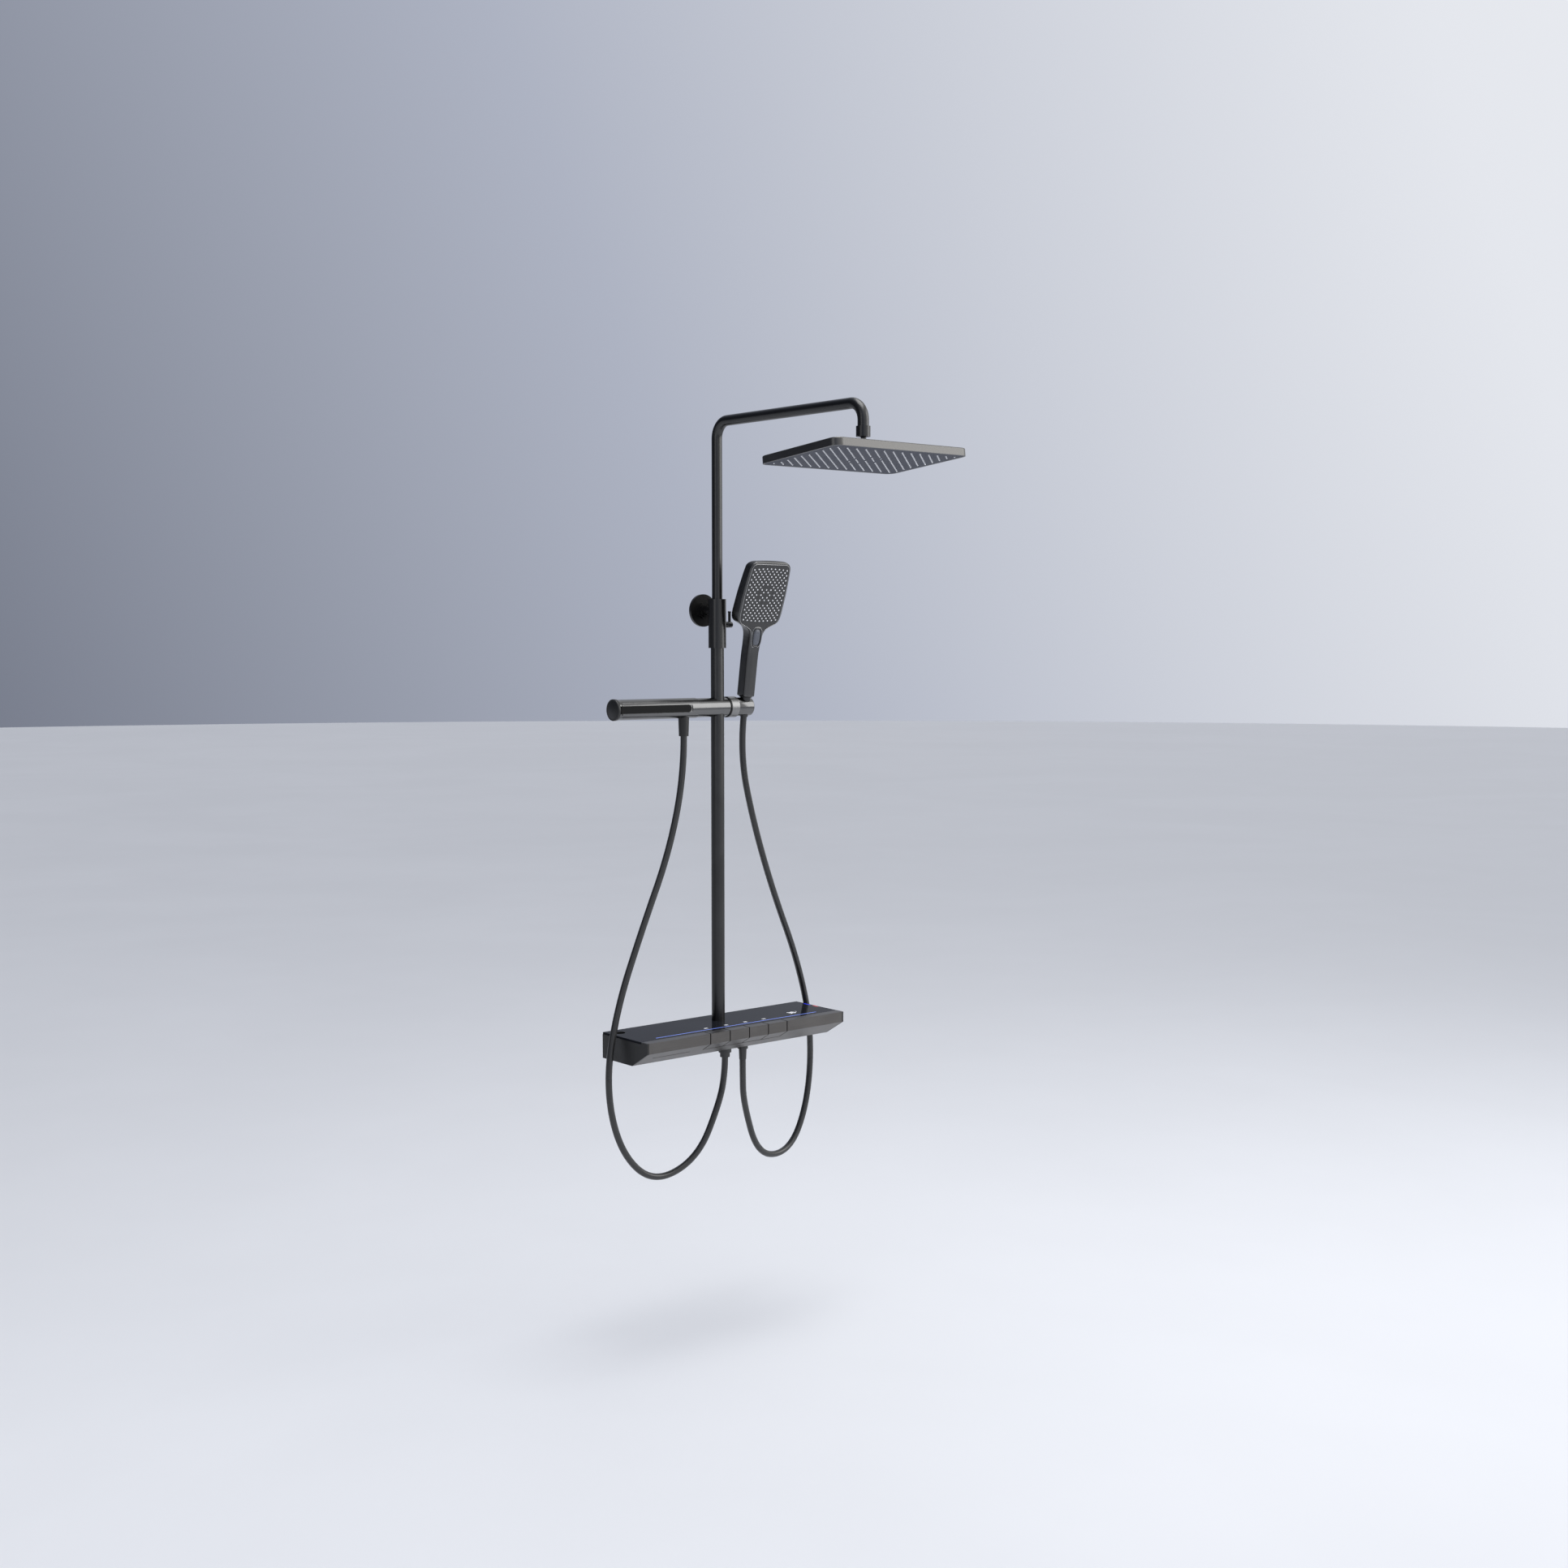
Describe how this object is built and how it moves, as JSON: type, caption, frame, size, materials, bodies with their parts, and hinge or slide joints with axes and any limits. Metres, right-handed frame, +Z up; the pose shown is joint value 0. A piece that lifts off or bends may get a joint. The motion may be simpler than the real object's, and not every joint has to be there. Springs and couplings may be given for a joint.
{
  "type": "rainfall shower column",
  "caption": "Wall-hung rainfall shower column with a black glass shelf, piano keys, a bent overhead arm with a rain head, a sliding holder, a handset and a spray gun on hoses.",
  "frame": {"origin": "on the wall plane, midway between the hot and cold inlets behind the shelf", "axes": "+X right for someone who faces the wall, +Y into the wall, +Z up"},
  "size_m": [0.5661, 0.5867, 1.52],
  "materials": {
    "gunmetal": "satin vapour-coated dark grey",
    "gunmetal_gloss": "glossy dark grey",
    "shelf_metal": "brushed and dark anodised",
    "key_metal": "brushed and dark anodised",
    "ring_metal": "brushed",
    "black_glass": "gloss black, printed on its underside",
    "black_plastic": "matt",
    "pad_rubber": "matt",
    "seal_rubber": "matt",
    "hose_skin": "smooth, semi-gloss",
    "head_metal": "satin",
    "face_slate": "satin slate with pale silicone nozzles",
    "handset_skin": "satin black",
    "button_grey": "satin",
    "cup_plastic": "satin",
    "light": "blue diffuser",
    "display": "dark window",
    "brass": "as machined",
    "steel": "plain",
    "white_plastic": "plain"
  },
  "bodies": {
    "column": {"shelf_body": "shelf_metal", "glass_top": "black_glass", "left_end_cap": "shelf_metal", "right_end_cap": "shelf_metal", "cup_insert": "cup_plastic", "led_bar": "light", "left_service_plug": "shelf_metal", "spout_insert": "black_plastic", "display_module": "display", "push_valve_block": "brass", "key_rod": "steel", "valve_manifold": "brass", "inlet_unions": "brass", "wall_plate": "steel", "thermostatic_cartridge": "white_plastic", "turbine_generator": "white_plastic", "gun_outlet_collar": "gunmetal", "handset_outlet_collar": "gunmetal", "gun_hose_nut": "gunmetal", "handset_hose_nut": "gunmetal", "hose_gun": "hose_skin", "hose_handset": "hose_skin", "riser_lower": "gunmetal", "riser_base_nut": "brass", "riser_o_ring": "seal_rubber", "sleeve": "gunmetal", "wall_flange": "gunmetal", "wall_stem": "gunmetal"},
    "key_1_body": {"key_1": "key_metal", "plunger_1": "steel"},
    "key_2_body": {"key_2": "key_metal", "plunger_2": "steel"},
    "key_3_body": {"key_3": "key_metal", "plunger_3": "steel"},
    "key_4_body": {"key_4": "key_metal", "plunger_4": "steel"},
    "temperature_body": {"temperature_knob": "shelf_metal"},
    "lock_body": {"lock_knob": "black_plastic"},
    "telescope": {"arm_gland": "brass"},
    "upper_arm": {"arm_tube": "gunmetal", "swivel_nut": "gunmetal"},
    "ball_seat": {"head_ball_seat": "white_plastic"},
    "rain_head": {"head_ball": "gunmetal", "head_shell": "head_metal", "head_faceplate": "face_slate"},
    "holder": {"holder_body": "gunmetal_gloss", "holder_bush": "white_plastic", "ring_gasket": "black_plastic"},
    "barrel": {"pivot_ring": "ring_metal", "swivel_barrel": "gunmetal_gloss"},
    "handset": {"handset_body": "handset_skin", "handset_face": "face_slate", "handset_washer": "seal_rubber", "handset_cone": "gunmetal"},
    "handset_push": {"handset_button": "button_grey"},
    "spray_gun": {"gun_body": "gunmetal_gloss", "gun_nozzle_cap": "black_plastic", "gun_strain_relief": "black_plastic"},
    "gun_lever": {"gun_trigger": "pad_rubber"}
  },
  "joints": [
    {"name": "key_1_press", "type": "hinge", "parent": "column", "child": "key_1_body", "pos_m": [0, -0.084, 0.012], "axis": [1, 0, 0], "range_deg": [0, 2.5], "stiffness_Nm_per_rad": 2, "springref_deg": -20.05},
    {"name": "key_2_press", "type": "hinge", "parent": "column", "child": "key_2_body", "pos_m": [0, -0.084, 0.012], "axis": [1, 0, 0], "range_deg": [0, 2.5], "stiffness_Nm_per_rad": 2, "springref_deg": -20.05},
    {"name": "key_3_press", "type": "hinge", "parent": "column", "child": "key_3_body", "pos_m": [0, -0.084, 0.012], "axis": [1, 0, 0], "range_deg": [0, 2.5], "stiffness_Nm_per_rad": 2, "springref_deg": -20.05},
    {"name": "key_4_press", "type": "hinge", "parent": "column", "child": "key_4_body", "pos_m": [0, -0.084, 0.012], "axis": [1, 0, 0], "range_deg": [0, 2.5], "stiffness_Nm_per_rad": 2, "springref_deg": -20.05},
    {"name": "temperature_turn", "type": "hinge", "parent": "column", "child": "temperature_body", "pos_m": [0.2585, -0.072, 0], "axis": [1, 0, 0], "range_deg": [-135, 135]},
    {"name": "lock_turn", "type": "hinge", "parent": "column", "child": "lock_body", "pos_m": [0.031, -0.05, 0.8215], "axis": [1, 0, 0], "range_deg": [-120, 0]},
    {"name": "arm_height", "type": "slide", "parent": "column", "child": "telescope", "axis": [0, 0, 1], "range_m": [-0.15, 0.12]},
    {"name": "arm_swivel", "type": "hinge", "parent": "telescope", "child": "upper_arm", "pos_m": [0, -0.05, 0.9], "axis": [0, 0, 1], "range_deg": [-60, 60]},
    {"name": "head_roll", "type": "hinge", "parent": "upper_arm", "child": "ball_seat", "pos_m": [0, -0.478, 1.1635], "axis": [0, 1, 0], "range_deg": [-8, 8]},
    {"name": "head_tilt", "type": "hinge", "parent": "ball_seat", "child": "rain_head", "pos_m": [0, -0.478, 1.1635], "axis": [1, 0, 0], "range_deg": [-9, 20]},
    {"name": "holder_height", "type": "slide", "parent": "column", "child": "holder", "axis": [0, 0, 1], "range_m": [-0.3, 0.09], "deforming": ["hose_gun", "hose_handset"]},
    {"name": "barrel_tilt", "type": "hinge", "parent": "holder", "child": "barrel", "pos_m": [0.0322, -0.05, 0.657], "axis": [1, 0, 0], "range_deg": [-5, 45], "deforming": ["hose_handset"]},
    {"name": "handset_lift", "type": "slide", "parent": "barrel", "child": "handset", "axis": [0, -0.1478, 0.989], "range_m": [0, 0.06], "deforming": ["hose_handset"]},
    {"name": "handset_button_press", "type": "slide", "parent": "handset", "child": "handset_push", "axis": [0, 0.9361, 0.3518], "range_m": [0, 0.002], "stiffness_N_per_m": 1500, "springref_m": -0.002},
    {"name": "gun_pull", "type": "slide", "parent": "holder", "child": "spray_gun", "axis": [-1, 0, 0], "range_m": [0, 0.04], "deforming": ["hose_gun"]},
    {"name": "gun_lever_press", "type": "hinge", "parent": "spray_gun", "child": "gun_lever", "pos_m": [-0.2456, -0.0673, 0.657], "axis": [0, 0, 1], "range_deg": [0, 0.9], "stiffness_Nm_per_rad": 4, "springref_deg": -2.86}
  ]
}
